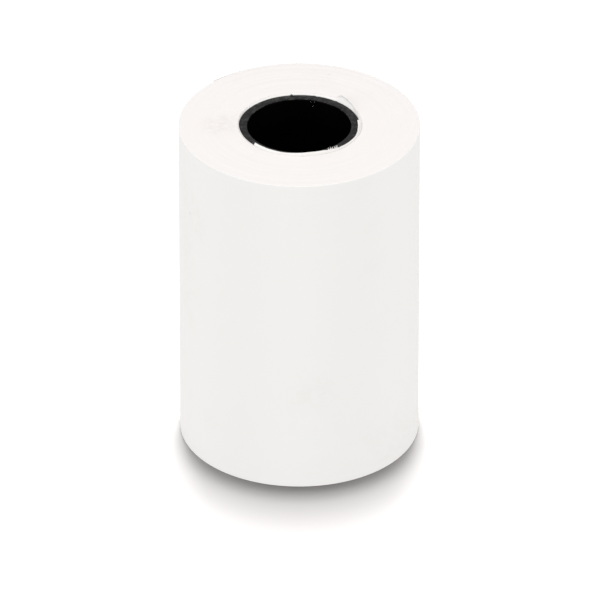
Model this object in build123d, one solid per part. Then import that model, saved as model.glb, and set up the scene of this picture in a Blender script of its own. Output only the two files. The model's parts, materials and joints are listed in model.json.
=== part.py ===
from build123d import *

import math
import os

# A roll of thermal paper on a plastic core, of the size that card payment terminals take.
#
# Millimetres and degrees. +Z runs along the roll's axis, and the origin is the centre of the end that it
# stands on. Seen from +Z, the web winds outward counter-clockwise, and angles count that way from +X.

# The web, a single strip of paper
PAPER_WIDTH = 57.0  # along the roll's axis
PAPER_THICKNESS = 0.06
ROLL_RADIUS = 19.6  # where the winding is thickest, at the root of the tail

# The core, a tube slightly shorter than the paper is wide
CORE_BORE_RADIUS = 8.4
CORE_WALL = 1.4
CORE_RECESS = 0.25  # each end of the core below the paper's edge
BORE_CHAMFER = 0.15
CORE_TO_PAPER = 0.02  # radial clearance under the first wrap

# The first wraps, which stand loose from the rest and bulge to one side
BULGE_ANGLE = 345.0
BULGE_THICKNESS = 0.54  # of the bundle of wraps where it bulges most
START_ANGLE = 222.0  # the web's first edge
WRAPS_TO_WINDING = 0.1  # the gap round the outside of the first wraps

# The lip, where the first wrap was wound askew and its upper edge stands above the roll's end
LIP_HEIGHT = 0.5
LIP_ARC = 143.0  # onward from the web's first edge

# The tail, the free end of the web
TAIL_ROOT_ANGLE = 60.0  # where it leaves the winding
TAIL_ARC = 75.0
TAIL_GAP = 0.06  # under the tail, where the glue lies
TAIL_BUTT_GAP = 0.04  # along the surface, between the tail's root and the lap that it continues

# The glue spots that hold the tail down
GLUE_THICKNESS = 0.04
GLUE_WIDTH = 3.0  # round the roll
GLUE_HEIGHT = 6.0  # along the roll's axis
GLUE_FROM_TIP = 4.0  # from the tail's edge to the middle of a spot
GLUE_SPACING = 22.0  # between the two spots

core_radius = CORE_BORE_RADIUS + CORE_WALL
seat_radius = core_radius + CORE_TO_PAPER

# Half a turn of the winding's outside is one arc, and its centre steps over by a quarter of the paper's
# thickness from one half turn to the next, so that the radius grows by one thickness in a turn.
centre_step = PAPER_THICKNESS / 4
lower_radius = ROLL_RADIUS - 3 * centre_step
upper_radius = ROLL_RADIUS - centre_step

# The outside of the first wraps is a circle that sits to one side of the core. It is one paper thickness
# clear of the core at the web's first edge.
wraps_half_arc = BULGE_ANGLE - START_ANGLE
wraps_offset = (BULGE_THICKNESS - PAPER_THICKNESS) / (1 - math.cos(math.radians(wraps_half_arc)))
wraps_radius = seat_radius + BULGE_THICKNESS - wraps_offset


def turned(angle):
    """A rotation about the roll's axis."""
    return Rot(0, 0, angle)


def sector(inner_radius, outer_radius, start_angle, arc):
    """A face between two circles, from start_angle round through arc."""
    outer = CenterArc((0, 0), outer_radius, start_angle, arc)
    inner = CenterArc((0, 0), inner_radius, start_angle, arc)
    return make_face(outer + inner + Line(inner @ 0, outer @ 0) + Line(inner @ 1, outer @ 1))


def wraps_circle(clearance=0.0):
    """The outside of the first wraps, grown by clearance."""
    return turned(BULGE_ANGLE) * Pos(wraps_offset, 0) * Circle(wraps_radius + clearance)


def make_core():
    length = PAPER_WIDTH - 2 * CORE_RECESS
    tube = Cylinder(core_radius, length) - Cylinder(CORE_BORE_RADIUS, length)
    mouths = tube.edges().filter_by(GeomType.CIRCLE).sort_by(SortBy.RADIUS)[:2]
    return Pos(0, 0, PAPER_WIDTH / 2) * chamfer(mouths, BORE_CHAMFER)


def make_first_wraps():
    """A bundle of wraps with a crescent section, and the lip at its top.

    Past the crescent's two thin ends, the winding closes in on the core itself.
    """
    far_radius = wraps_radius + wraps_offset + PAPER_THICKNESS
    within = sector(seat_radius, far_radius, START_ANGLE, 2 * wraps_half_arc)
    bundle = extrude(wraps_circle() & within, PAPER_WIDTH)
    lip = sector(seat_radius, seat_radius + PAPER_THICKNESS, START_ANGLE, LIP_ARC)
    return bundle + extrude(lip, PAPER_WIDTH + LIP_HEIGHT)


def make_wound_paper():
    """The winding. Its outside steps down by one thickness of paper where the tail leaves it."""
    low = (ROLL_RADIUS - PAPER_THICKNESS, 0)
    far = (-(ROLL_RADIUS - PAPER_THICKNESS / 2), 0)
    high = (ROLL_RADIUS, 0)
    first_half = ThreePointArc(low, (-centre_step, lower_radius), far)
    second_half = ThreePointArc(far, (centre_step, -upper_radius), high)
    outside = make_face(first_half + second_half + Line(high, low))
    hole = Circle(seat_radius) + wraps_circle(WRAPS_TO_WINDING)
    return extrude(turned(TAIL_ROOT_ANGLE) * outside - hole, PAPER_WIDTH)


def over_first_half(face, low_z, height):
    """Extrudes a face that is drawn about the centre of the half turn under the tail.

    In that drawing, the tail's root is at angle 0.
    """
    placed = turned(TAIL_ROOT_ANGLE) * Pos(-centre_step, 0) * face
    return Pos(0, 0, low_z) * extrude(placed, height)


def make_tail():
    inner_radius = lower_radius + TAIL_GAP
    butt_arc = math.degrees(TAIL_BUTT_GAP / inner_radius)
    strip = sector(inner_radius, inner_radius + PAPER_THICKNESS, butt_arc, TAIL_ARC - butt_arc)
    return over_first_half(strip, 0, PAPER_WIDTH)


def make_glue():
    width_arc = math.degrees(GLUE_WIDTH / lower_radius)
    middle = TAIL_ARC - math.degrees(GLUE_FROM_TIP / lower_radius)
    spot = sector(lower_radius, lower_radius + GLUE_THICKNESS, middle - width_arc / 2, width_arc)
    lowest = PAPER_WIDTH / 2 - GLUE_SPACING / 2 - GLUE_HEIGHT / 2
    return Compound([over_first_half(spot, lowest + step, GLUE_HEIGHT) for step in (0, GLUE_SPACING)])


def tail_hinge():
    """A point on the line that the tail turns about: the outer edge of its root."""
    butt_arc = TAIL_BUTT_GAP / (lower_radius + TAIL_GAP)
    root = Vector(math.cos(butt_arc), math.sin(butt_arc)) * (lower_radius + TAIL_GAP + PAPER_THICKNESS)
    return (root - Vector(centre_step, 0)).rotate(Axis.Z, TAIL_ROOT_ANGLE)


nodes = {
    "core": make_core(),
    "first_wraps": make_first_wraps(),
    "wound_paper": make_wound_paper(),
    "paper_tail": make_tail(),
    "tail_glue": make_glue(),
}

os.makedirs("parts", exist_ok=True)
for name, solid in nodes.items():
    export_step(solid, f"parts/{name}.step")

hinge = tail_hinge()
print(f"the tail turns about x {hinge.X:.4f}, y {hinge.Y:.4f}, with -Z as the axis that lifts it")
web_volume = sum(nodes[name].volume for name in ("first_wraps", "wound_paper", "paper_tail"))
print(f"the web is about {web_volume / PAPER_WIDTH / PAPER_THICKNESS / 1000:.1f} m long")
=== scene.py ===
import json
import math
import random

import bmesh
import bpy
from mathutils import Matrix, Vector, noise


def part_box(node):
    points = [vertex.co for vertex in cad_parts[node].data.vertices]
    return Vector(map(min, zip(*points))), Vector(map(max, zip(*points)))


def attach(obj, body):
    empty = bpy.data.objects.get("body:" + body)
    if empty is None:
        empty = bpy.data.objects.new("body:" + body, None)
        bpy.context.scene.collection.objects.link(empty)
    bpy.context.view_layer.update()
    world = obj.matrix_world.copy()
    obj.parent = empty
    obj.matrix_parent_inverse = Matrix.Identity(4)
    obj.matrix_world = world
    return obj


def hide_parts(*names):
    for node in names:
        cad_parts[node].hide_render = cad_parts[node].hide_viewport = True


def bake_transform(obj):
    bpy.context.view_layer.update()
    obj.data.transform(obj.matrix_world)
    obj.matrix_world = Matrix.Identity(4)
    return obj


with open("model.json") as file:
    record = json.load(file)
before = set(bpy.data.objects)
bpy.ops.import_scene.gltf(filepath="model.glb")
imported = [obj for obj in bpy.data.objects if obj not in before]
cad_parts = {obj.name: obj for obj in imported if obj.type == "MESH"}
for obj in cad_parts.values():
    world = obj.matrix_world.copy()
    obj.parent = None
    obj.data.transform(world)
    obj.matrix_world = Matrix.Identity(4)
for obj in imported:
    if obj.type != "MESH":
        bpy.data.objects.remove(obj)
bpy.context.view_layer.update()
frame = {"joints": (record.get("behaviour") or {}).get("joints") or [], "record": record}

mm = 0.001
turn = 2 * math.pi
sheet = 0.06 * mm  # one thickness of the web

# what the frame says: the web's width, the core, the glue, and where the tail leaves the roll
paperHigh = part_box("wound_paper")[1]
coreLow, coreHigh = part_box("core")
glueLow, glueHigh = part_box("tail_glue")
tailRoot = Vector(frame["joints"][0]["pos_m"])
webWidth = paperHigh.z
coreRadius = coreHigh.x
boreRadius = frame["record"]["mounts"][0]["dims"]["r_mm"] * mm
rootAngle = math.atan2(tailRoot.y, tailRoot.x)
rollRadius = paperHigh.x + sheet * rootAngle / turn  # outside of the last lap where the tail leaves it
print("frame loaded: web", round(webWidth / mm, 2), "mm wide")
print("roll", round(2 * rollRadius / mm, 2), "mm across")

rollPieces = bpy.data.collections.new("rollPieces")
studio = bpy.data.collections.new("studio")
bpy.context.scene.collection.children.link(rollPieces)
bpy.context.scene.collection.children.link(studio)


def polar(radius, angle, height):
    return Vector((radius * math.cos(angle), radius * math.sin(angle), height))


def eased(value, low, high):
    # 0 below low, 1 above high, smooth between
    share = min(1.0, max(0.0, (value - low) / (high - low)))
    return share * share * (3 - 2 * share)


def between(keys, at):
    # smooth values from a short list of (place, value, value...)
    for before, after in zip(keys, keys[1:]):
        if at <= after[0]:
            share = eased(at, before[0], after[0])
            return [a + (b - a) * share for a, b in zip(before[1:], after[1:])]
    return list(keys[-1][1:])


def drawLine(bm, start, steps):
    # a line drawn by pulling its end point on, one step at a time
    tip = bmesh.ops.create_vert(bm, co=start)["vert"][0]
    for step in steps:
        tip = bmesh.ops.extrude_vert_indiv(bm, verts=[tip])["verts"][0]
        bmesh.ops.translate(bm, verts=[tip], vec=Vector(step))


def spinRound(bm, steps):
    # a closed outline, spun through a full turn into a shut body
    bmesh.ops.remove_doubles(bm, verts=bm.verts, dist=1e-7)
    bmesh.ops.spin(bm, geom=bm.verts[:] + bm.edges[:], cent=(0, 0, 0), axis=(0, 0, 1), angle=turn,
                   steps=steps, use_merge=True)
    bmesh.ops.remove_doubles(bm, verts=bm.verts, dist=1e-7)
    bmesh.ops.recalc_face_normals(bm, faces=bm.faces)


def roundCorners(bm, radius, low, high, size, segments):
    # rounds the two edges where a wall of this radius meets the ends of a body
    def onCorner(vert):
        fromEnd = min(vert.co.z - low, high - vert.co.z)
        return abs(vert.co.xy.length - radius) < 1e-6 and fromEnd < 1e-6
    corners = [edge for edge in bm.edges if all(onCorner(vert) for vert in edge.verts)]
    bmesh.ops.bevel(bm, geom=corners, offset=size * mm, offset_type="OFFSET", segments=segments, profile=0.5,
                    affect="EDGES", material=-1)


def toPiece(bm, name, material, body="roll", crease=32):
    mesh = bpy.data.meshes.new(name)
    bm.to_mesh(mesh)
    bm.free()
    mesh.shade_smooth()
    mesh.set_sharp_from_angle(angle=math.radians(crease))
    mesh.materials.append(material)
    piece = bpy.data.objects.new(name, mesh)
    rollPieces.objects.link(piece)
    if body:
        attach(piece, body)
    return piece


# ways to wire up a material
def addNode(tree, kind, **settings):
    node = tree.nodes.new(kind)
    for key, value in settings.items():
        setattr(node, key, value)
    return node


def feed(tree, socket, source):
    if isinstance(source, bpy.types.NodeSocket):
        tree.links.new(source, socket)
    else:
        socket.default_value = source


def calc(tree, operation, *values):
    node = addNode(tree, "ShaderNodeMath", operation=operation)
    for socket, value in zip(node.inputs, values):
        feed(tree, socket, value)
    return node.outputs[0]


def product(tree, first, *others):
    for other in others:
        first = calc(tree, "MULTIPLY", first, other)
    return first


def remap(tree, value, low, high, newLow=0.0, newHigh=1.0, smooth=True):
    node = addNode(tree, "ShaderNodeMapRange", interpolation_type="SMOOTHSTEP" if smooth else "LINEAR")
    settings = {"Value": value, "From Min": low, "From Max": high, "To Min": newLow, "To Max": newHigh}
    for key, number in settings.items():
        feed(tree, node.inputs[key], number)
    return node.outputs["Result"]


def blendColours(tree, amount, first, second):
    node = addNode(tree, "ShaderNodeMix", data_type="RGBA")
    feed(tree, node.inputs["Factor"], amount)
    feed(tree, node.inputs["A"], first if isinstance(first, bpy.types.NodeSocket) else (*first, 1))
    feed(tree, node.inputs["B"], second if isinstance(second, bpy.types.NodeSocket) else (*second, 1))
    return node.outputs["Result"]


def noiseOf(tree, place, scale, detail=2.0, roughness=0.5, dimensions="3D"):
    node = addNode(tree, "ShaderNodeTexNoise", noise_dimensions=dimensions)
    feed(tree, node.inputs["W" if dimensions == "1D" else "Vector"], place)
    feed(tree, node.inputs["Scale"], scale)
    feed(tree, node.inputs["Detail"], detail)
    feed(tree, node.inputs["Roughness"], roughness)
    return node.outputs["Fac"]


def stretched(tree, place, factors):
    node = addNode(tree, "ShaderNodeVectorMath", operation="MULTIPLY")
    feed(tree, node.inputs[0], place)
    feed(tree, node.inputs[1], factors)
    return node.outputs[0]


def newGroup(name, inputs, outputs):
    tree = bpy.data.node_groups.new(name, "ShaderNodeTree")
    for key, kind, value in inputs:
        socket = tree.interface.new_socket(key, in_out="INPUT", socket_type=kind)
        if value is not None:
            socket.default_value = value
    for key in outputs:
        tree.interface.new_socket(key, in_out="OUTPUT", socket_type="NodeSocketFloat")
    return tree, tree.nodes.new("NodeGroupInput").outputs, tree.nodes.new("NodeGroupOutput").inputs


def placeGroup(tree, group, **inputs):
    node = addNode(tree, "ShaderNodeGroup", node_tree=group)
    for key, value in inputs.items():
        feed(tree, node.inputs[key], value)
    return node.outputs


def newMaterial(name):
    # returns the material, its tree, its shader, a point on the piece in millimetres, and how level the
    # surface is there: 0 on a wall, 1 on an end face
    material = bpy.data.materials.new(name)
    material.use_nodes = True
    tree = material.node_tree
    tree.nodes.clear()
    shader = tree.nodes.new("ShaderNodeBsdfPrincipled")
    output = tree.nodes.new("ShaderNodeOutputMaterial")
    tree.links.new(shader.outputs[0], output.inputs[0])
    coordinates = tree.nodes.new("ShaderNodeTexCoord")
    place = stretched(tree, coordinates.outputs["Object"], (1000, 1000, 1000))
    facing = addNode(tree, "ShaderNodeSeparateXYZ")
    tree.links.new(coordinates.outputs["Normal"], facing.inputs[0])
    level = calc(tree, "ABSOLUTE", facing.outputs["Z"])
    return material, tree, shader, place, level


def addBump(tree, shader, height, distance, strength=1.0):
    bump = addNode(tree, "ShaderNodeBump")
    feed(tree, bump.inputs["Height"], height)
    feed(tree, bump.inputs["Distance"], distance)
    feed(tree, bump.inputs["Strength"], strength)
    tree.links.new(bump.outputs[0], shader.inputs["Normal"])


def makeFibreGroup():
    # the sheet's cloudy make and its fine surface fibres
    inputs = [("Place", "NodeSocketVector", None), ("Cloud Size", "NodeSocketFloat", 0.4)]
    tree, given, made = newGroup("paperFibre", inputs, ["Cloud", "Fuzz"])
    feed(tree, made["Cloud"], noiseOf(tree, given["Place"], given["Cloud Size"], 3.0, 0.6))
    longWays = noiseOf(tree, stretched(tree, given["Place"], (1, 1, 0.3)), 5.0, 3.0, 0.6)
    crossWays = noiseOf(tree, stretched(tree, given["Place"], (0.3, 0.3, 1)), 6.5, 3.0, 0.6)
    feed(tree, made["Fuzz"], calc(tree, "MULTIPLY_ADD", longWays, 0.5, product(tree, crossWays, 0.5)))
    return tree


def makeLapGroup():
    # edges of the laps on an end face, along a true spiral: each lap's own tone, the ridge of its edge, and
    # slow bands
    inputs = [("Place", "NodeSocketVector", None), ("Pitch", "NodeSocketFloat", 0.06)]
    tree, given, made = newGroup("lapEdges", inputs, ["Tone", "Ridge", "Band"])
    parts = addNode(tree, "ShaderNodeSeparateXYZ")
    feed(tree, parts.inputs[0], given["Place"])
    x, y = parts.outputs["X"], parts.outputs["Y"]
    radius = calc(tree, "SQRT", calc(tree, "ADD", product(tree, x, x), product(tree, y, y)))
    windings = calc(tree, "DIVIDE", calc(tree, "ARCTAN2", y, x), turn)
    lap = calc(tree, "SUBTRACT", calc(tree, "DIVIDE", radius, given["Pitch"]), windings)
    ownTone = addNode(tree, "ShaderNodeTexWhiteNoise", noise_dimensions="1D")
    feed(tree, ownTone.inputs["W"], calc(tree, "FLOOR", lap))
    feed(tree, made["Tone"], ownTone.outputs["Value"])
    feed(tree, made["Ridge"], calc(tree, "PINGPONG", lap, 0.5))
    feed(tree, made["Band"], noiseOf(tree, product(tree, lap, 0.16), 1.0, 3.0, 0.7, "1D"))
    return tree


def makeHandlingGroup():
    # faint marks that a white surface picks up: soft smudges and a few specks; besides these, the paper is
    # darker round one given place
    inputs = [("Place", "NodeSocketVector", None), ("Thumb", "NodeSocketVector", None),
              ("Reach", "NodeSocketFloat", 3)]
    tree, given, made = newGroup("handlingMarks", inputs, ["Smudge", "Speck"])
    patches = remap(tree, noiseOf(tree, given["Place"], 0.085, 2.0), 0.52, 0.72)
    # the paper is darker round a given place on the upper end
    apart = addNode(tree, "ShaderNodeVectorMath", operation="DISTANCE")
    feed(tree, apart.inputs[0], given["Place"])
    feed(tree, apart.inputs[1], given["Thumb"])
    darkPatch = remap(tree, calc(tree, "DIVIDE", apart.outputs["Value"], given["Reach"]), 0.3, 1.0, 1.0, 0.0)
    broken = remap(tree, noiseOf(tree, given["Place"], 0.9, 4.0, 0.7), 0.3, 0.7)
    darkenedPatches = calc(tree, "MULTIPLY_ADD", patches, 0.4, darkPatch)
    feed(tree, made["Smudge"], product(tree, darkenedPatches, broken))
    cells = addNode(tree, "ShaderNodeTexVoronoi", feature="F1")
    feed(tree, cells.inputs["Vector"], given["Place"])
    feed(tree, cells.inputs["Scale"], 0.22)
    near = remap(tree, cells.outputs["Distance"], 0.03, 0.09, 1.0, 0.0)
    feed(tree, made["Speck"], product(tree, near, patches))
    return tree


fibreGroup = makeFibreGroup()
lapGroup = makeLapGroup()
handlingGroup = makeHandlingGroup()

paperLook = {
    "face": (0.905, 0.897, 0.880),
    "end": (0.955, 0.918, 0.904),
    "mark": (0.72, 0.67, 0.61),
    "faceRoughness": 0.52,
    "endRoughness": 0.86,
    "specular": 0.32,
    "lapTone": 0.012,  # how far each thing shades the paper towards the mark's colour
    "lapBand": 0.02,
    "cloud": 0.03,
    "smudge": 0.27,
    "speck": 0.3,
    "relief": 0.006 * mm,
    "pitch": sheet / mm,
    "darkPatch": (-12.6, -0.4, 57),  # a darker patch on the upper end, left of the core, in millimetres
    "darkPatchReach": 4.5,
}


def makePaper():
    material, tree, shader, place, level = newMaterial("thermalPaper")
    fibre = placeGroup(tree, fibreGroup, Place=place)
    laps = placeGroup(tree, lapGroup, Place=place, Pitch=paperLook["pitch"])
    marks = placeGroup(tree, handlingGroup, Place=place, Thumb=paperLook["darkPatch"],
                       Reach=paperLook["darkPatchReach"])
    onEnd = remap(tree, level, 0.6, 0.97)
    colour = blendColours(tree, onEnd, paperLook["face"], paperLook["end"])
    # lap edges differ a little in tone, in single laps and in slow bands
    banded = product(tree, laps["Band"], paperLook["lapBand"])
    lapShade = calc(tree, "MULTIPLY_ADD", laps["Tone"], paperLook["lapTone"], banded)
    shade = calc(tree, "MULTIPLY_ADD", lapShade, onEnd, product(tree, fibre["Cloud"], paperLook["cloud"]))
    shade = calc(tree, "MULTIPLY_ADD", marks["Smudge"], paperLook["smudge"], shade)
    shade = calc(tree, "MULTIPLY_ADD", marks["Speck"], paperLook["speck"], shade)
    feed(tree, shader.inputs["Base Color"], blendColours(tree, shade, colour, paperLook["mark"]))
    rough = remap(tree, onEnd, 0.0, 1.0, paperLook["faceRoughness"], paperLook["endRoughness"],
                  smooth=False)
    feed(tree, shader.inputs["Roughness"], calc(tree, "MULTIPLY_ADD", fibre["Fuzz"], 0.16, rough))
    shader.inputs["Specular IOR Level"].default_value = paperLook["specular"]
    edges = calc(tree, "MULTIPLY_ADD", laps["Tone"], 0.5, laps["Ridge"])
    height = calc(tree, "MULTIPLY_ADD", edges, onEnd, product(tree, fibre["Fuzz"], 0.7))
    addBump(tree, shader, height, paperLook["relief"], 0.8)
    return material


plasticLook = {
    # the plastic's own black, pushed almost to pure black on the moulded wall as painted shade in the bore
    "body": (0.0006, 0.0006, 0.0007),
    "cut": (0.022, 0.020, 0.021),
    "cutDark": (0.002, 0.002, 0.002),
    # scuffed edges, partly a painted highlight on the chamfer and rounded edges
    "scuffAndHighlight": (0.16, 0.155, 0.15),
    "cutDepth": 0.35,  # below each end of the core, in millimetres
    "specular": (0.015, 0.21),  # of the wall, kept low with its colour as painted shade in the bore, and of the cut rim
    "sawPitch": 0.11,  # between the saw's marks, in millimetres
    "cloudSize": 1.3,
    "relief": 0.012 * mm,
}


def makePlastic():
    material, tree, shader, place, level = newMaterial("blackCorePlastic")
    laps = placeGroup(tree, lapGroup, Place=place, Pitch=plasticLook["sawPitch"])
    fibre = placeGroup(tree, fibreGroup, Place=place, **{"Cloud Size": plasticLook["cloudSize"]})
    parts = addNode(tree, "ShaderNodeSeparateXYZ")
    feed(tree, parts.inputs[0], place)
    middle = (coreLow.z + coreHigh.z) / 2 / mm
    fromMiddle = calc(tree, "ABSOLUTE", calc(tree, "SUBTRACT", parts.outputs["Z"], middle))
    halfLength = (coreHigh.z - coreLow.z) / 2 / mm
    nearEnd = remap(tree, fromMiddle, halfLength - plasticLook["cutDepth"], halfLength - 0.05)
    onEnd = remap(tree, level, 0.5, 0.9)
    cut = product(tree, onEnd, nearEnd)
    grain = remap(tree, noiseOf(tree, place, 3.4, 4.0, 0.7), 0.3, 0.7)
    cutColour = blendColours(tree, grain, plasticLook["cutDark"], plasticLook["cut"])
    # the wall takes the near-black colour, painted shade for the bore; the cut rim keeps its own grey grain
    colour = blendColours(tree, cut, plasticLook["body"], cutColour)
    # the saw scores the rim in places, and its edges are scuffed; the lighter chamfer and rounded edges near
    # the ends are partly a painted highlight
    scored = product(tree, laps["Band"], remap(tree, fibre["Cloud"], 0.45, 0.75), cut)
    offEnd = calc(tree, "SUBTRACT", 1.0, onEnd)
    patchy = remap(tree, fibre["Cloud"], 0.4, 0.6, 0.2, 1.2)
    # wear on the tilted chamfer and rounded edges near the ends, partly a painted highlight where they catch
    # the light
    worn = product(tree, remap(tree, level, 0.15, 0.45), offEnd, nearEnd, patchy)
    scuffedAndHighlit = calc(tree, "MULTIPLY_ADD", scored, 0.5, worn)
    feed(tree, shader.inputs["Base Color"], blendColours(tree, scuffedAndHighlit, colour, plasticLook["scuffAndHighlight"]))
    rough = calc(tree, "MULTIPLY_ADD", fibre["Fuzz"], 0.25, 0.34)
    feed(tree, shader.inputs["Roughness"], calc(tree, "ADD", rough, product(tree, cut, 0.12)))
    shine = remap(tree, cut, 0.0, 1.0, *plasticLook["specular"], smooth=False)
    feed(tree, shader.inputs["Specular IOR Level"], shine)
    # the wall keeps fine lines from being drawn through its die, and the rim keeps the saw's
    drawn = noiseOf(tree, stretched(tree, place, (1, 1, 0.02)), 7.0, 2.0, 0.5)
    wall = product(tree, drawn, offEnd)
    height = calc(tree, "ADD", wall, product(tree, laps["Tone"], cut, 0.8))
    addBump(tree, shader, height, plasticLook["relief"], 0.7)
    return material


glueLook = {"thin": (0.86, 0.80, 0.62), "thick": (0.93, 0.91, 0.84), "alpha": 0.62, "relief": 0.02 * mm}


def makeGlue():
    material, tree, shader, place, _ = newMaterial("driedGlue")
    cloud = noiseOf(tree, place, 1.6, 3.0, 0.6)
    feed(tree, shader.inputs["Base Color"], blendColours(tree, cloud, glueLook["thin"], glueLook["thick"]))
    feed(tree, shader.inputs["Roughness"], remap(tree, cloud, 0.3, 0.7, 0.18, 0.45))
    shader.inputs["Alpha"].default_value = glueLook["alpha"]
    addBump(tree, shader, noiseOf(tree, place, 3.0, 3.0, 0.6), glueLook["relief"], 0.8)
    return material


floorLook = {"dark": (0.255, 0.249, 0.246), "light": (0.260, 0.254, 0.251)}


def makeFloorLook():
    material, tree, shader, place, _ = newMaterial("studioFloor")
    grain = noiseOf(tree, place, 0.02, 3.0, 0.5)
    feed(tree, shader.inputs["Base Color"], blendColours(tree, grain, floorLook["dark"], floorLook["light"]))
    shader.inputs["Roughness"].default_value = 0.9
    shader.inputs["Specular IOR Level"].default_value = 0.0
    # clear from below, so that the roll's lower end can be looked at
    clear = tree.nodes.new("ShaderNodeBsdfTransparent")
    side = tree.nodes.new("ShaderNodeNewGeometry")
    mixed = tree.nodes.new("ShaderNodeMixShader")
    tree.links.new(side.outputs["Backfacing"], mixed.inputs[0])
    tree.links.new(shader.outputs[0], mixed.inputs[1])
    tree.links.new(clear.outputs[0], mixed.inputs[2])
    output = next(node for node in tree.nodes if node.type == "OUTPUT_MATERIAL")
    tree.links.new(mixed.outputs[0], output.inputs[0])
    return material


paper = makePaper()
plastic = makePlastic()
glue = makeGlue()
print("materials made")

# how the web lies, from the core outwards
layout = {
    "startAngle": math.radians(221.5),  # the web's first edge
    "bulgeAngle": math.radians(345),  # where the loose wraps stand out most
    "gapMiddle": 0.06 * mm,  # of the gap round the loose wraps, outside the core
    "gapSwing": 0.32 * mm,
    "firstWrap": 0.02 * mm,  # clearance over the core
    "overFirstWrap": 0.015 * mm,  # the least clearance between the first wrap and the winding
    "besideGap": 0.012 * mm,  # paper stands this far back from each side of the gap
}
firstOutside = coreRadius + layout["firstWrap"] + sheet


def gapRadius(angle):
    return coreRadius + layout["gapMiddle"] + layout["gapSwing"] * math.cos(angle - layout["bulgeAngle"])


def holeRadius(angle):
    # the winding lies on the first wrap, or stands off round the loose ones
    return max(firstOutside + layout["overFirstWrap"], gapRadius(angle) + layout["besideGap"])


# the outer laps round over at both ends: the radius there, and how far round the outermost lap goes
edgeShape = {"radius": 0.11 * mm, "arc": math.radians(64), "margin": 0.3 * mm}


def roundedWeb(up):
    # height on the web, and how far it draws in. Half of the rows stand in the two margins.
    radius, margin = edgeShape["radius"], edgeShape["margin"]
    bend = radius * edgeShape["arc"]
    side = min(up, 1 - up) * 4
    fromEdge = margin * min(side, 1.0)
    angle = edgeShape["arc"] * max(0.0, 1 - fromEdge / bend)
    inside = radius * (1 - math.sin(angle)) + max(0.0, fromEdge - bend)
    if side > 1:
        inside += (webWidth / 2 - inside) * (side - 1)
    return (inside if up < 0.5 else webWidth - inside), radius * (1 - math.cos(angle))


winding = {
    "around": 216,
    "landWidth": (0.14, 0.50),  # groups of laps whose edges stand level, in millimetres
    "landRise": 0.0025,
    "stepWidth": 0.02,
    "lastLand": 0.35,
    "grooveWidth": 0.31,  # the worn edge of the hole, at its widest
    "grooveDepth": 0.30,
    # how wide and how deep it is worn: degrees from +X, width, depth
    "worn": [(0, 0.12, 0.09), (25, 0.19, 0.18), (45, 0.31, 0.30), (150, 0.31, 0.30), (185, 0.09, 0.09),
             (225, 0.09, 0.09), (245, 0.24, 0.16), (305, 0.24, 0.16), (335, 0.12, 0.09), (360, 0.12, 0.09)],
    "outerRound": 0.07,  # under the last lap's own rounding
    "wander": 0.02,  # of the laps' edges up and down each end face
    "underLap": 0.004 * mm,  # clearance under the last lap
    "sideRows": 6,
    "seed": 5,
}


def endSteps(rng, across):
    # steps over an end face from the hole outwards, each a level land and a small step to the next
    steps = [(winding["grooveWidth"], winding["grooveDepth"])]
    done, level = winding["grooveWidth"], 0.0
    while done < across - winding["lastLand"]:
        land = rng.uniform(*winding["landWidth"])
        nextLevel = rng.uniform(-1, 1) * winding["landRise"]
        steps += [(land, 0), (winding["stepWidth"], nextLevel - level)]
        done += land + winding["stepWidth"]
        level = nextLevel
    steps.append((across - done, -level))
    return steps


def packRadius(angle):
    # outside of the winding under the last lap, which stands off a little where the tail leaves it
    share = ((angle - rootAngle) % turn) / turn
    return rollRadius - 2 * sheet - winding["underLap"] + sheet * share * (1 - eased(share, 0.84, 0.99))


def makeWinding():
    rng = random.Random(winding["seed"])
    inner, outer = holeRadius(layout["bulgeAngle"] + math.pi), rollRadius - 2 * sheet
    across = (outer - inner) / mm
    top = endSteps(rng, across)
    bottom = [(-r, z) for r, z in reversed(endSteps(rng, across))]
    depth = winding["grooveDepth"]
    side = [(0, -webWidth / mm / winding["sideRows"])] * winding["sideRows"]
    hole = [(0, webWidth / mm - 2 * depth)]
    bm = bmesh.new()
    start = polar(inner, rootAngle, depth * mm)
    outward = polar(1, rootAngle, 0)
    steps = [outward * r * mm + Vector((0, 0, z * mm)) for r, z in hole + top + side + bottom]
    drawLine(bm, start, steps)
    spinRound(bm, winding["around"])
    roundCorners(bm, outer, 0, webWidth, winding["outerRound"], 4)
    for vert in bm.verts:
        angle = math.atan2(vert.co.y, vert.co.x)
        share = (vert.co.xy.length - inner) / (outer - inner)
        radius = holeRadius(angle) * (1 - share) + packRadius(angle) * share
        wornWidth, wornDepth = between(winding["worn"], math.degrees(angle) % 360)
        if share < 0.001:
            vert.co.z += math.copysign((depth - wornDepth) * mm, vert.co.z - webWidth / 2)
        elif abs(share * across - winding["grooveWidth"]) < 0.005:
            radius -= (winding["grooveWidth"] - wornWidth) * mm
        wander = noise.noise(Vector((math.cos(angle) * 1.6, math.sin(angle) * 1.6, share * 5)))
        wander *= winding["wander"] * mm * eased(share, 0.04, 0.1) * (1 - eased(share, 0.9, 1.0))
        vert.co = polar(radius, angle, vert.co.z + wander)
    piece = toPiece(bm, "woundPaper", paper)
    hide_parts("wound_paper")


makeWinding()
print("winding made")


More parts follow.
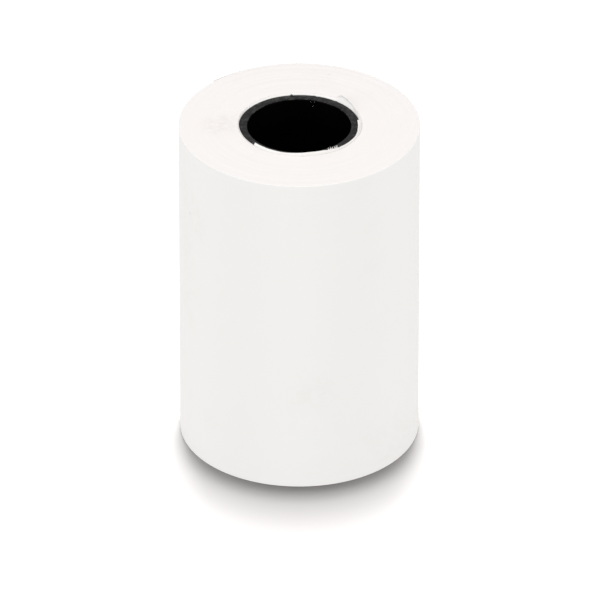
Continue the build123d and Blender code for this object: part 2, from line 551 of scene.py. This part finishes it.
def layWeb(name, columns, rows, place, body="roll"):
    # a flat strip of web pulled into place, then given its thickness. place takes shares along and up it.
    bm = bmesh.new()
    bmesh.ops.create_grid(bm, x_segments=columns, y_segments=rows, size=0.5)
    for vert in bm.verts:
        vert.co = place(vert.co.x + 0.5, vert.co.y + 0.5)
    bmesh.ops.recalc_face_normals(bm, faces=bm.faces)
    middle = bm.faces[:][len(bm.faces) // 2]
    if middle.normal.dot(middle.calc_center_median() * Vector((1, 1, 0))) < 0:
        bmesh.ops.reverse_faces(bm, faces=bm.faces)
    bmesh.ops.solidify(bm, geom=bm.faces[:], thickness=sheet)
    bmesh.ops.recalc_face_normals(bm, faces=bm.faces)
    return toPiece(bm, name, paper, body)


def webHeight(up, margin):
    # a quarter of the rows stand in each margin of the web
    if up < 0.25:
        return margin * up / 0.25
    if up > 0.75:
        return webWidth - margin * (1 - up) / 0.25
    return margin + (webWidth - 2 * margin) * (up - 0.25) / 0.5


lastLap = {"columns": 220, "rows": 40}


def placeLastLap(along, up):
    height, drawnIn = roundedWeb(up)
    radius = rollRadius - sheet * (1 - along)
    return polar(radius - drawnIn, rootAngle + turn * along, height)


layWeb("lastLap", lastLap["columns"], lastLap["rows"], placeLastLap)

tail = {
    "arc": math.radians(75),
    "columns": 110,
    "rows": 56,
    "rise": 0.05 * mm,  # over the lap that it continues
    "tipLift": (0.42 * mm, 0.03 * mm),  # at the web's lower and upper edge
    "cornerLift": 0.5 * mm,
    "upperShare": 0.1,  # of that, at the upper corner
    "cornerReach": 0.16,  # share of the web's width
    "wave": 0.03 * mm,
    "bendLength": 8 * mm,
}


def placeTail(along, up):
    height, drawnIn = roundedWeb(up)
    angle = rootAngle + tail["arc"] * along
    fromCorner = min(height, webWidth - height) / webWidth
    corner = 1 - eased(fromCorner, 0.0, tail["cornerReach"])
    upper = tail["upperShare"] if height > webWidth / 2 else 1.0
    lift = tail["rise"] * eased(along, 0.0, 0.25)
    low, high = tail["tipLift"]
    lift += (low + (high - low) * height / webWidth) * along ** 10
    lift += tail["cornerLift"] * upper * corner ** 1.5 * eased(along, 0.72, 1.02) ** 1.6
    lift += noise.noise(Vector((along * 3, up * 4, 2.5))) * tail["wave"] * eased(along, 0.1, 0.5)
    return polar(rollRadius + lift - drawnIn, angle, height)


paperTail = layWeb("paperTail", tail["columns"], tail["rows"], placeTail, body=None)
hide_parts("paper_tail")
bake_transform(paperTail)
print("last lap and tail made")

lip = {
    "columns": 420,
    "rows": 48,
    "margin": 0.54 * mm,
    "tip": 0.08 * mm,
    # angle from +X in degrees, then in millimetres: how far below the web's edge it starts to lean, how far
    # it leans in over the core, how far it stands up, and how far its very edge stands up above that
    "shape": [(221.5, 0.42, 0.33, 0.30, 0), (232, 0.42, 0.32, 0.27, 0), (240, 0.40, 0.18, 0.32, 0),
              (255, 0.36, -0.02, 0.39, 0), (270, 0.36, -0.07, 0.50, 0), (280, 0.36, -0.07, 0.58, 0),
              (292, 0.34, -0.05, 0.51, 0), (300, 0.30, 0.06, 0.28, 0), (306, 0.24, 0.14, 0.12, 0),
              (313, 0.20, 0.12, 0.0, 0), (325, 0.16, 0.05, 0.0, 0), (337, 0.14, 0.02, 0.0, 0),
              (345, 0.12, 0.12, 0.01, 0), (352, 0.12, 0.26, 0.02, 0), (362, 0.12, 0.33, 0.03, 0),
              (367.4, 0.12, 0.33, 0.04, 0), (368.4, 0.2, 0.02, 0.0, 0), (379, 0.3, -0.06, 0.02, 0.02),
              (386, 0.42, -0.22, 0.20, 0.10), (395, 0.42, -0.46, 0.30, 0.18), (403, 0.42, -0.62, 0.42, 0.22),
              (409, 0.42, -0.70, 0.50, 0.22), (411.5, 0.42, -0.62, 0.42, 0.14), (414, 0.34, -0.42, 0.08, 0),
              (420, 0.32, -0.38, -0.02, 0), (432, 0.32, -0.30, -0.02, 0), (445, 0.32, -0.27, -0.02, 0),
              (498, 0.32, -0.25, -0.02, 0), (520, 0.25, -0.04, -0.02, 0), (538, 0.2, 0.05, -0.01, 0),
              (556, 0.2, 0.06, 0.0, 0), (570, 0.2, 0.03, 0.0, 0), (581.5, 0.2, 0.0, 0.0, 0)],
    "torn": (297, 309),  # where its edge is torn, in degrees
    "ragged": (0.05, 0.8),  # how uneven the edge is everywhere, and how much more so where it is torn
}


def placeFirstWrap(along, up):
    degrees = math.degrees(layout["startAngle"]) + 360 * along
    angle = math.radians(degrees)
    depth, lean, stand, tip = between(lip["shape"], degrees)
    first, last = lip["torn"]
    torn = eased(degrees, first, first + 3) * (1 - eased(degrees, last - 3, last))
    everywhere, more = lip["ragged"]
    ragged = 1 + noise.noise(Vector((degrees * 0.9, 0, 7))) * (everywhere + more * torn)
    height = webHeight(up, lip["margin"])
    over = eased(height, webWidth - depth * mm, webWidth - 0.04 * mm)
    atTip = eased(height, webWidth - lip["tip"], webWidth)
    radius = firstOutside - lean * mm * ragged * (over ** 1.6 if lean > 0 else over)
    return polar(radius, angle, height + (stand * over + tip * atTip) * mm * ragged)


firstWrap = layWeb("firstWrap", lip["columns"], lip["rows"], placeFirstWrap)
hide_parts("first_wraps")

loose = {
    "startAngle": math.radians(250),
    "arc": math.radians(172),
    "around": 136,
    "laps": 6,
    "width": 0.3 * mm,  # before it is fitted to the gap
    "least": 0.015 * mm,  # width where the gap closes
    "bottom": 0.06 * mm,  # above the web's lower edge
    "top": 0.11 * mm,  # below the web's upper edge
    "ridgeRise": (0.03, 0.05),
    "ridgeFlank": 0.12,  # share of a lap's width
    "leanDepth": 0.25 * mm,  # the top of the bundle leans in after the lip
    "leanShare": 0.6,
    "seed": 9,
}


def makeLooseWraps():
    rng = random.Random(loose["seed"])
    bm = bmesh.new()
    inner, width = firstOutside + layout["besideGap"], loose["width"]
    outward = polar(1, loose["startAngle"], 0)
    up = Vector((0, 0, 1))
    ridge = width / loose["laps"]
    start = inner * outward + up * loose["bottom"]
    top = webWidth - loose["top"]
    steps = [up * (top - loose["leanDepth"]), up * loose["leanDepth"]]
    flank = outward * ridge * loose["ridgeFlank"]
    for _ in range(loose["laps"]):
        # each lap's edge is a small ridge, at its own height
        rise = rng.uniform(*loose["ridgeRise"]) * mm
        steps += [flank + up * rise, outward * ridge - 2 * flank, flank - up * rise]
    steps += [up * -top, outward * -width]
    drawLine(bm, start, steps)
    bmesh.ops.remove_doubles(bm, verts=bm.verts, dist=1e-7)
    bmesh.ops.spin(bm, geom=bm.verts[:] + bm.edges[:], cent=(0, 0, 0), axis=(0, 0, 1), angle=loose["arc"],
                   steps=loose["around"])
    bmesh.ops.holes_fill(bm, edges=[e for e in bm.edges if e.is_boundary], sides=0)
    bmesh.ops.recalc_face_normals(bm, faces=bm.faces)
    for vert in bm.verts:
        angle = math.atan2(vert.co.y, vert.co.x)
        share = (vert.co.xy.length - inner) / width
        room = max(loose["least"], gapRadius(angle) - layout["besideGap"] - inner)
        degrees = math.degrees(loose["startAngle"] + (angle - loose["startAngle"]) % turn)
        depth, lean, *_ = between(lip["shape"], degrees)
        # the bundle's top leans in after the lip, and is pressed down where the lip leans out over it
        leaning = max(0.0, lean) * mm * loose["leanShare"] * (1 - share)
        leaning *= eased(vert.co.z, top - loose["leanDepth"], top)
        pressed = depth * mm * eased(-lean, 0.0, 0.2) if vert.co.z > webWidth / 2 else 0
        vert.co = polar(inner + room * share - leaning, angle, vert.co.z - pressed)
    toPiece(bm, "looseWraps", paper, crease=50)


makeLooseWraps()
print("first wraps made")

coreShape = {
    "around": 360,
    "boreEdge": 0.05,  # the mouth's edge is worn back by this much
    "chamfer": 0.08,
    "outerRound": 0.09,
    "rimRise": 0.012,  # a low ridge that the saw left on the rim
    "burrReach": (0.25, 0.05),  # from the rim's outer edge, where a burr starts and where it is whole
    # degrees from +X, how wide in degrees, and how high or deep in millimetres
    "burrs": [(72.5, 1.1, -0.22), (75.5, 1.6, 0.06), (97.3, 1.2, 0.30), (11, 2.2, 0.07), (146, 1.4, 0.05),
              (52, 1.2, 0.07), (205, 1.5, 0.06), (93, 25, -0.04)],
}


def makeCore():
    bm = bmesh.new()
    length = coreHigh.z - coreLow.z
    inner = boreRadius + coreShape["boreEdge"] * mm
    wall = coreRadius - inner
    outward, up = Vector((1, 0, 0)), Vector((0, 0, 1))
    rise = coreShape["rimRise"] * mm
    rimSteps = [outward * wall * 0.22, outward * wall * 0.08 + up * rise, outward * wall * 0.3,
                outward * wall * 0.1 - up * rise, outward * wall * 0.3]
    steps = [up * length / 4] * 4 + rimSteps + [up * -length / 4] * 4 + [outward * -wall]
    drawLine(bm, outward * inner + up * coreLow.z, steps)
    spinRound(bm, coreShape["around"])
    for radius, size in ((inner, coreShape["chamfer"]), (coreRadius, coreShape["outerRound"])):
        roundCorners(bm, radius, coreLow.z, coreHigh.z, size, 2)
    starts, whole = coreShape["burrReach"]
    for vert in bm.verts:
        # the saw leaves burrs on the rim's outer edge
        nearRim = eased(vert.co.z, coreHigh.z - 0.1 * mm, coreHigh.z - 0.07 * mm)
        nearEdge = eased(vert.co.xy.length, coreRadius - starts * mm, coreRadius - whole * mm)
        degrees = math.degrees(math.atan2(vert.co.y, vert.co.x)) % 360
        for place, width, height in coreShape["burrs"]:
            off = abs((degrees - place + 180) % 360 - 180)
            vert.co.z += height * mm * nearRim * nearEdge * (1 - eased(off, 0, width))
    piece = toPiece(bm, "coreTube", plastic)
    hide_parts("core")


makeCore()
print("core made")

glueDab = {
    "around": 2.6,  # sizes in millimetres
    "tall": 5.6,
    "thick": 0.045,
    "flattened": 0.95,  # so that it stays clear of the sheet over it
    "edgeWaver": 0.22,
    "lumps": 0.5,
}


def makeGlueDabs():
    bm = bmesh.new()
    angle = math.atan2(glueLow.y + glueHigh.y, glueLow.x + glueHigh.x)
    share = (angle - rootAngle) / turn
    ground = rollRadius - sheet * (1 - share)
    halfTall = glueDab["tall"] / 2 * mm
    for index, height in enumerate((glueLow.z + halfTall, glueHigh.z - halfTall)):
        dab = bmesh.ops.create_uvsphere(bm, u_segments=28, v_segments=12, radius=1)["verts"]
        for vert in dab:
            x, y, z = vert.co
            edge = 1 + glueDab["edgeWaver"] * noise.noise(Vector((x * 1.4, y * 1.4, index * 9)))
            lump = 1 + glueDab["lumps"] * noise.noise(Vector((x * 2.5, y * 2.5, 4 + index * 9)))
            thick = glueDab["thick"] / 2 * mm
            vert.co = polar(ground + thick + z * thick * lump * glueDab["flattened"],
                            angle + x * edge * glueDab["around"] / 2 * mm / rollRadius,
                            height + y * edge * halfTall)
    bmesh.ops.recalc_face_normals(bm, faces=bm.faces)
    piece = toPiece(bm, "glueDabs", glue, crease=80)
    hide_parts("tail_glue")


makeGlueDabs()

lint = {
    # flakes on the bore's wall: degrees from +X, and millimetres below the rim
    "flakes": [(77.2, 0.3), (76.6, 0.42), (72.8, 0.36), (75, 1.2), (74.2, 1.05)],
    "flakeRadius": (0.024, 0.036),
    "flakeThickness": 0.01 * mm,
    "offWall": 0.012 * mm,
    "fibres": 15,
    "fibreLength": (0.25, 0.55),
    "fibreRadius": (0.05 * mm, 0.018 * mm),  # at its root and at its tip
    "seed": 21,
}


def makeLint():
    # slivers of paper: torn fibres on the lip, and a few flakes on the bore's wall
    rng = random.Random(lint["seed"])
    bm = bmesh.new()
    for degrees, depth in lint["flakes"]:
        radius = rng.uniform(*lint["flakeRadius"]) * mm
        flake = bmesh.ops.create_circle(bm, cap_ends=True, segments=5, radius=radius)["verts"]
        for vert in flake:
            x, y, _ = vert.co * rng.uniform(0.7, 1.3)
            angle = math.radians(degrees) + x / boreRadius
            vert.co = polar(boreRadius - lint["offWall"], angle, coreHigh.z - depth * mm + y)
    thick, thin = lint["fibreRadius"]
    for _ in range(lint["fibres"]):
        degrees = rng.uniform(*lip["torn"])
        _, lean, stand, _ = between(lip["shape"], degrees)
        root = polar(firstOutside - lean * mm * 0.9, math.radians(degrees), webWidth + stand * mm * 0.9)
        length = rng.uniform(*lint["fibreLength"]) * mm
        hair = bmesh.ops.create_cone(bm, cap_ends=True, segments=4, radius1=thick, radius2=thin,
                                     depth=length)["verts"]
        grows = Vector((rng.uniform(-0.35, 0.35), rng.uniform(-0.1, 0.3), 1)).normalized()
        turned = Vector((0, 0, 1)).rotation_difference(grows).to_matrix()
        bmesh.ops.rotate(bm, verts=hair, cent=(0, 0, 0), matrix=turned)
        bmesh.ops.translate(bm, verts=hair, vec=root + grows * length * 0.35)
    flakes = [f for f in bm.faces if len(f.verts) == 5]
    bmesh.ops.solidify(bm, geom=flakes, thickness=lint["flakeThickness"])
    bmesh.ops.recalc_face_normals(bm, faces=bm.faces)
    toPiece(bm, "paperLint", paper)


makeLint()
print("glue and lint made")

camera = {
    "distance": 1.866,
    "elevation": math.radians(31.46),
    "lens": 686.8,
    "middle": Vector((0, 0, 0.0285)),  # the roll's own middle
    "aimShift": (0.130 * mm, -4.149 * mm),  # so that the roll stands a little above the middle
}


def makeCamera():
    data = bpy.data.cameras.new("camera")
    data.lens = camera["lens"]
    data.sensor_width = 36
    data.clip_start, data.clip_end = 0.05, 20
    rig = bpy.data.objects.new("camera", data)
    studio.objects.link(rig)
    up = Vector((0, math.sin(camera["elevation"]), math.cos(camera["elevation"])))
    back = Vector((0, -math.cos(camera["elevation"]), math.sin(camera["elevation"])))
    rig.location = camera["middle"] + back * camera["distance"]
    aim = camera["middle"] + Vector((camera["aimShift"][0], 0, 0)) + up * camera["aimShift"][1]
    rig.rotation_euler = (aim - rig.location).to_track_quat("-Z", "Y").to_euler()
    bpy.context.scene.camera = rig


makeCamera()

middleHeight = webWidth / 2
lamps = {
    # for the roll alone. name: size, bearing from the front and height in degrees, distance, power
    "topSoft": ((3.2, 3.2), 0, 88, 3, 17.8),
    "frontSoft": ((1.6, 1.2), 0, 50, 3, 10.0),
    "leftSoft": ((1.4, 1.8), -64, 15, 3, 25.5),
    "rightSoft": ((1.4, 1.8), 60, 15, 3, 23.9),
}
floorLamps = [
    # for the floor alone, behind the roll and high up, so that the shadow falls to the front.
    # size across and deep, how far its middle is behind the roll's, power
    ((0.19, 0.24), 0.14, 100),
    ((0.49, 1.23), 0.6, 350),
]
floorLampHeight = 3.0
floorShape = {"half": 4.0, "below": 0.07 * mm}  # half its width, and how far it lies under the roll
surround = {"lit": 0.66, "seen": 1.05}  # how bright the world is as a light, and as it is seen


def makeLamp(name, size, place, power):
    data = bpy.data.lights.new(name, "AREA")
    data.shape = "RECTANGLE"
    data.size, data.size_y = size
    data.energy = power
    lamp = bpy.data.objects.new(name, data)
    studio.objects.link(lamp)
    lamp.location = place
    return lamp


def makeStudio():
    bm = bmesh.new()
    bmesh.ops.create_grid(bm, x_segments=8, y_segments=8, size=floorShape["half"])
    bmesh.ops.translate(bm, verts=bm.verts, vec=(0, 0, -floorShape["below"]))
    mesh = bpy.data.meshes.new("floor")
    bm.to_mesh(mesh)
    bm.free()
    mesh.materials.append(makeFloorLook())
    floor = bpy.data.objects.new("floor", mesh)
    floorOnly = bpy.data.collections.new("floorOnly")
    studio.children.link(floorOnly)
    floorOnly.objects.link(floor)
    floor.visible_diffuse = False
    for name, (size, bearing, height, distance, power) in lamps.items():
        around, above = math.radians(bearing), math.radians(height)
        flat = math.cos(above)
        towards = Vector((math.sin(around) * flat, -math.cos(around) * flat, math.sin(above)))
        place = Vector((0, 0, middleHeight)) + towards * distance
        lamp = makeLamp(name, size, place, power)
        lamp.rotation_euler = (-towards).to_track_quat("-Z", "Y").to_euler()
        lamp.light_linking.receiver_collection = rollPieces
    for index, (size, behind, power) in enumerate(floorLamps):
        lamp = makeLamp(f"floorSoft{index}", size, (0, behind, floorLampHeight), power)
        lamp.light_linking.receiver_collection = floorOnly
    world = bpy.data.worlds.new("studioWorld")
    bpy.context.scene.world = world
    world.use_nodes = True
    tree = world.node_tree
    tree.nodes.clear()
    seen = tree.nodes.new("ShaderNodeBackground")
    lit = tree.nodes.new("ShaderNodeBackground")
    feed(tree, lit.inputs["Strength"], surround["lit"])
    feed(tree, lit.inputs["Color"], (1, 1, 1, 1))
    feed(tree, seen.inputs["Color"], (1, 1, 1, 1))
    feed(tree, seen.inputs["Strength"], surround["seen"])
    mixed = tree.nodes.new("ShaderNodeMixShader")
    path = tree.nodes.new("ShaderNodeLightPath")
    tree.links.new(path.outputs["Is Camera Ray"], mixed.inputs[0])
    tree.links.new(lit.outputs[0], mixed.inputs[1])
    tree.links.new(seen.outputs[0], mixed.inputs[2])
    output = tree.nodes.new("ShaderNodeOutputWorld")
    tree.links.new(mixed.outputs[0], output.inputs[0])
    bpy.context.scene.view_settings.view_transform = "Standard"


makeStudio()
print("studio made")
